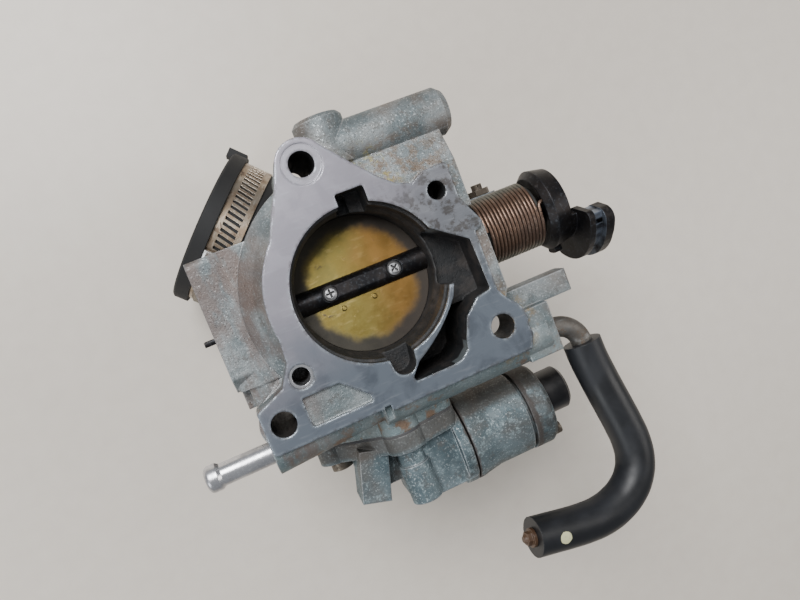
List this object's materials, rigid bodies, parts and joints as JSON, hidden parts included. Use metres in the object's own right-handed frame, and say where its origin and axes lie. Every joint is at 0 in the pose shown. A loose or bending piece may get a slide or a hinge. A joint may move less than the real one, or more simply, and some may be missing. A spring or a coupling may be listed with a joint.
{
  "type": "throttle body",
  "caption": "Cast engine throttle body: brass butterfly plate on a sprung cable lever, bolt-on idle air valve, coolant line with a loose hose, rubber inlet elbow.",
  "frame": {"origin": "centre of the bore on the machined manifold face", "axes": "+Z out of the manifold face along the bore, +X along the throttle shaft towards the cable lever, +Y towards the top bolt"},
  "size_m": [0.1682, 0.1907, 0.1344],
  "materials": {
    "cast_alloy": "grainy sand-cast skin with stains",
    "valve_casting": "die-cast skin, slightly greasy",
    "black_steel": "satin black conversion coat",
    "yellow_brass": "rolled sheet with a dark carbon ring",
    "bright_steel": "turned and slightly worn",
    "zinc_plate": "yellow zinc plating",
    "spring_wire": "drawn spring wire, rusted on top",
    "grey_pipe": "dull bent steel tube",
    "soft_rubber": "matte moulded rubber",
    "hose_rubber": "matte extruded rubber",
    "black_plastic": "moulded, fine grain",
    "guide_plastic": "moulded nylon",
    "brown_plastic": "moulded",
    "gasket_sheet": "pressed fibre sheet",
    "copper_wire": "varnished winding"
  },
  "bodies": {
    "casting": {"throttle_body": "cast_alloy", "shaft_bearing_left": "bright_steel", "shaft_bearing_right": "bright_steel", "shaft_seals": "soft_rubber", "return_spring": "spring_wire", "spring_guide": "guide_plastic", "stop_screw": "zinc_plate", "stop_screw_nut": "zinc_plate", "dowel_sleeve": "bright_steel", "coolant_nipple": "bright_steel", "coolant_pipe": "grey_pipe", "coolant_hose": "hose_rubber", "hose_plug": "brown_plastic", "idle_valve_housing": "valve_casting", "idle_valve_gasket": "gasket_sheet", "idle_valve_screws": "zinc_plate", "idle_actuator": "valve_casting", "idle_actuator_end": "valve_casting", "idle_actuator_cap": "black_plastic", "idle_actuator_screws": "zinc_plate", "idle_valve_oring": "soft_rubber", "idle_coil": "copper_wire", "idle_plunger_spring": "bright_steel", "adjust_screw_oring": "soft_rubber", "boss_plug": "bright_steel", "inlet_elbow": "soft_rubber", "inlet_clamp_band": "bright_steel", "inlet_clamp_housing": "bright_steel", "inlet_clamp_screw": "zinc_plate", "collar_clamp_band": "bright_steel", "collar_clamp_housing": "bright_steel", "collar_clamp_screw": "zinc_plate"},
    "throttle": {"throttle_shaft": "black_steel", "throttle_plate": "yellow_brass", "plate_screws": "bright_steel", "cable_lever": "black_steel", "lever_washer": "bright_steel", "lever_nut": "zinc_plate"},
    "plunger": {"idle_plunger": "bright_steel"},
    "adjuster": {"idle_adjust_screw": "yellow_brass"}
  },
  "joints": [
    {"name": "throttle_turn", "type": "hinge", "parent": "casting", "child": "throttle", "pos_m": [0, 0, -0.022], "axis": [-1, 0, 0], "range_deg": [0, 82], "stiffness_Nm_per_rad": 0.12, "springref_deg": -34.38, "deforming": ["return_spring"]},
    {"name": "idle_plunger_slide", "type": "slide", "parent": "casting", "child": "plunger", "axis": [1, 0, 0], "range_m": [0, 0.004], "stiffness_N_per_m": 300, "springref_m": -0.003, "deforming": ["idle_plunger_spring"]},
    {"name": "adjuster_turn", "type": "hinge", "parent": "casting", "child": "adjuster", "pos_m": [0.03, 0.0469, -0.012], "axis": [1, 0, 0], "range_deg": [-720, 720]}
  ]
}
